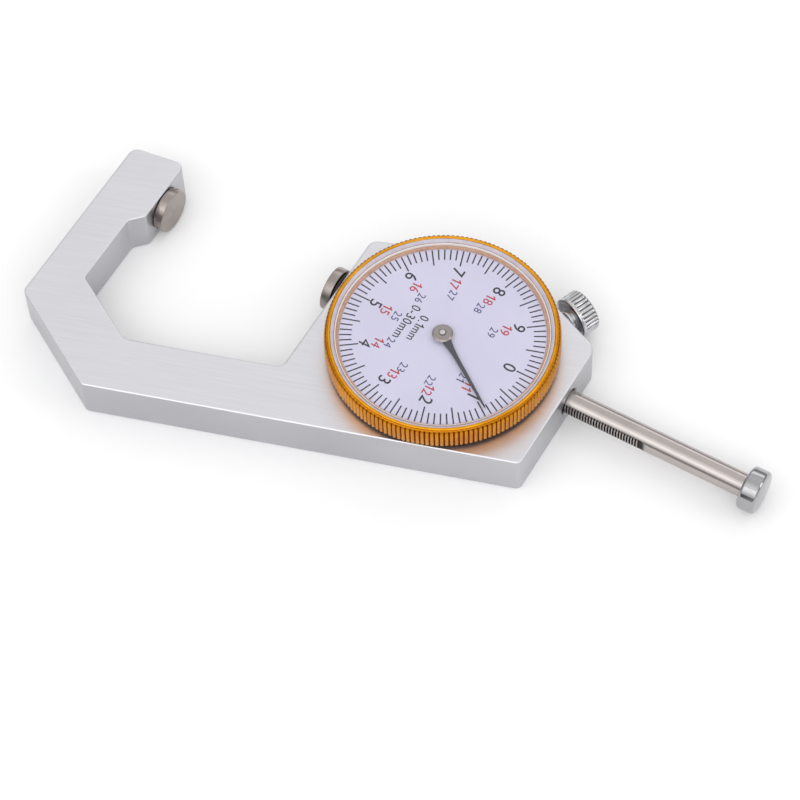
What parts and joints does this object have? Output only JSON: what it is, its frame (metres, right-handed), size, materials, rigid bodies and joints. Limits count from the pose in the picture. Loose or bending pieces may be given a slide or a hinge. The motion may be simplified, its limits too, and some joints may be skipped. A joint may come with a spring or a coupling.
{
  "type": "dial thickness gauge",
  "caption": "Flat C-frame dial thickness gauge with a rack spindle, pull knob, clamp screw, turning bezel and pointer.",
  "frame": {"origin": "on the dial's axis at the frame's flat back face", "axes": "+X along the spindle from the anvil towards the pull knob, +Z out of the dial, +Y towards the clamp screw's shoulder; the jaw stands fully open at 30.95 mm"},
  "size_m": [0.122, 0.0563, 0.0138],
  "materials": {
    "frame_aluminium": "bead-blasted and brushed, satin",
    "case_aluminium": "fine turned",
    "gold_anodised": "bright gold anodised, straight-knurled side",
    "turned_steel": "fine turned, bright",
    "spindle_steel": "ground and polished stainless",
    "screw_steel": "bright",
    "chrome": "polished chrome plate",
    "brass": "machined",
    "bronze": "sintered bronze, matt",
    "black_rubber": "matt black",
    "dial_white": "satin lacquered pale lavender white",
    "pointer_grey": "dark grey, satin",
    "gasket_brown": "tan",
    "crystal_clear": "clear polished acrylic"
  },
  "bodies": {
    "frame_body": {"frame": "frame_aluminium", "anvil": "turned_steel", "front_bush": "bronze", "rear_bush": "bronze", "guide_screw": "screw_steel", "lower_bearing": "brass", "upper_bearing": "brass", "movement_bridge": "brass", "bridge_screw_1": "screw_steel", "bridge_screw_2": "screw_steel", "bridge_screw_3": "screw_steel", "dial_case": "case_aluminium", "case_screw_1": "screw_steel", "case_screw_2": "screw_steel", "case_screw_3": "screw_steel", "bezel_spring": "screw_steel", "lock_bush": "chrome"},
    "spindle_body": {"spindle": "spindle_steel", "contact_disc": "turned_steel", "bumper_washer": "black_rubber", "pull_knob": "chrome"},
    "pointer_body": {"pinion_arbor": "screw_steel", "pointer_hub": "turned_steel", "pointer_blade": "pointer_grey"},
    "bezel_body": {"bezel": "gold_anodised", "dial_plate": "dial_white", "crystal_gasket": "gasket_brown", "crystal": "crystal_clear"},
    "lock_pad_body": {"lock_pad": "brass"},
    "lock_screw_body": {"lock_screw": "chrome"}
  },
  "joints": [
    {"name": "spindle_slide", "type": "slide", "parent": "frame_body", "child": "spindle_body", "axis": [1, 0, 0], "range_m": [-0.0309, 0.0002]},
    {"name": "pointer_turn", "type": "hinge", "parent": "frame_body", "child": "pointer_body", "pos_m": [0, 0, 0.0041], "axis": [0, 0, 1], "range_deg": [-10, 1120]},
    {"name": "bezel_turn", "type": "hinge", "parent": "frame_body", "child": "bezel_body", "pos_m": [0, 0, 0.0105], "axis": [0, 0, 1], "continuous": true},
    {"name": "clamp_feed", "type": "slide", "parent": "frame_body", "child": "lock_pad_body", "axis": [0.3843, 0.9232, 0], "range_m": [-0.00015, 0.0009]},
    {"name": "clamp_turn", "type": "hinge", "parent": "lock_pad_body", "child": "lock_screw_body", "pos_m": [0.01329, 0.01547, 0.0041], "axis": [0.3843, 0.9232, 0], "range_deg": [-122, 722]}
  ],
  "couplings": [
    {"joint": "pointer_turn", "follows": "spindle_slide", "rad_per_m": -628.32},
    {"joint": "clamp_turn", "follows": "clamp_feed", "rad_per_m": 13963}
  ]
}
